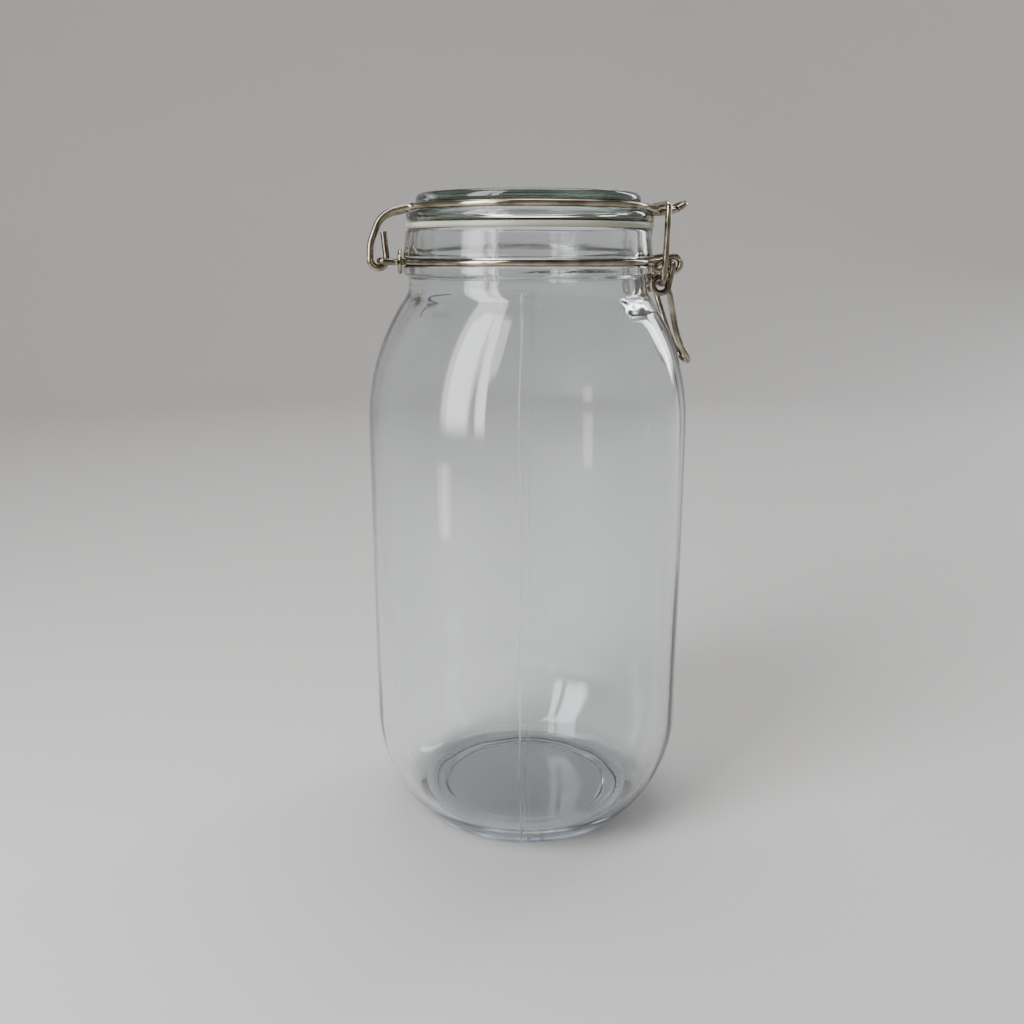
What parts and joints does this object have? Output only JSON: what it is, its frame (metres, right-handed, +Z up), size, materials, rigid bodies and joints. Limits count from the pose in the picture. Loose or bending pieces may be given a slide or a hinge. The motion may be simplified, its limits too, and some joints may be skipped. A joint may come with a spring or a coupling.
{
  "type": "clip-top glass storage jar",
  "caption": "Tall clear glass storage jar with a neck, a glass lid on a rubber ring, and a wire bail, neck band, lever and link that latch it shut.",
  "frame": {"origin": "centre of the standing ring under the jar, on the jar's axis", "axes": "+Z up along the jar's axis, +X towards the clasp, the hinge at -X, +Y to the side"},
  "size_m": [0.1318, 0.1288, 0.2555],
  "materials": {
    "jar_glass": "clear moulded glass, faint blue-grey at the edges",
    "lid_glass": "clear pressed glass, grey-green at the edges",
    "gasket_rubber": "cream grey, satin, slightly translucent",
    "wire_steel": "bright drawn steel wire, warm nickel tone"
  },
  "bodies": {
    "vessel": {"jar": "jar_glass", "lid": "lid_glass", "gasket": "gasket_rubber", "bail": "wire_steel", "neck_band": "wire_steel", "collar": "wire_steel"},
    "lever": {"lever": "wire_steel"},
    "link": {"link": "wire_steel"}
  },
  "joints": [
    {"name": "lever_lift", "type": "hinge", "parent": "vessel", "child": "lever", "pos_m": [0.0557, 0, 0.22915], "axis": [0, -1, 0], "range_deg": [0, 150]},
    {"name": "link_swing", "type": "hinge", "parent": "lever", "child": "link", "pos_m": [0.0511, 0, 0.2215], "axis": [0, -1, 0], "range_deg": [-120, 0]}
  ],
  "couplings": [
    {"joint": "link_swing", "follows": "lever_lift", "ratio": -0.78}
  ]
}
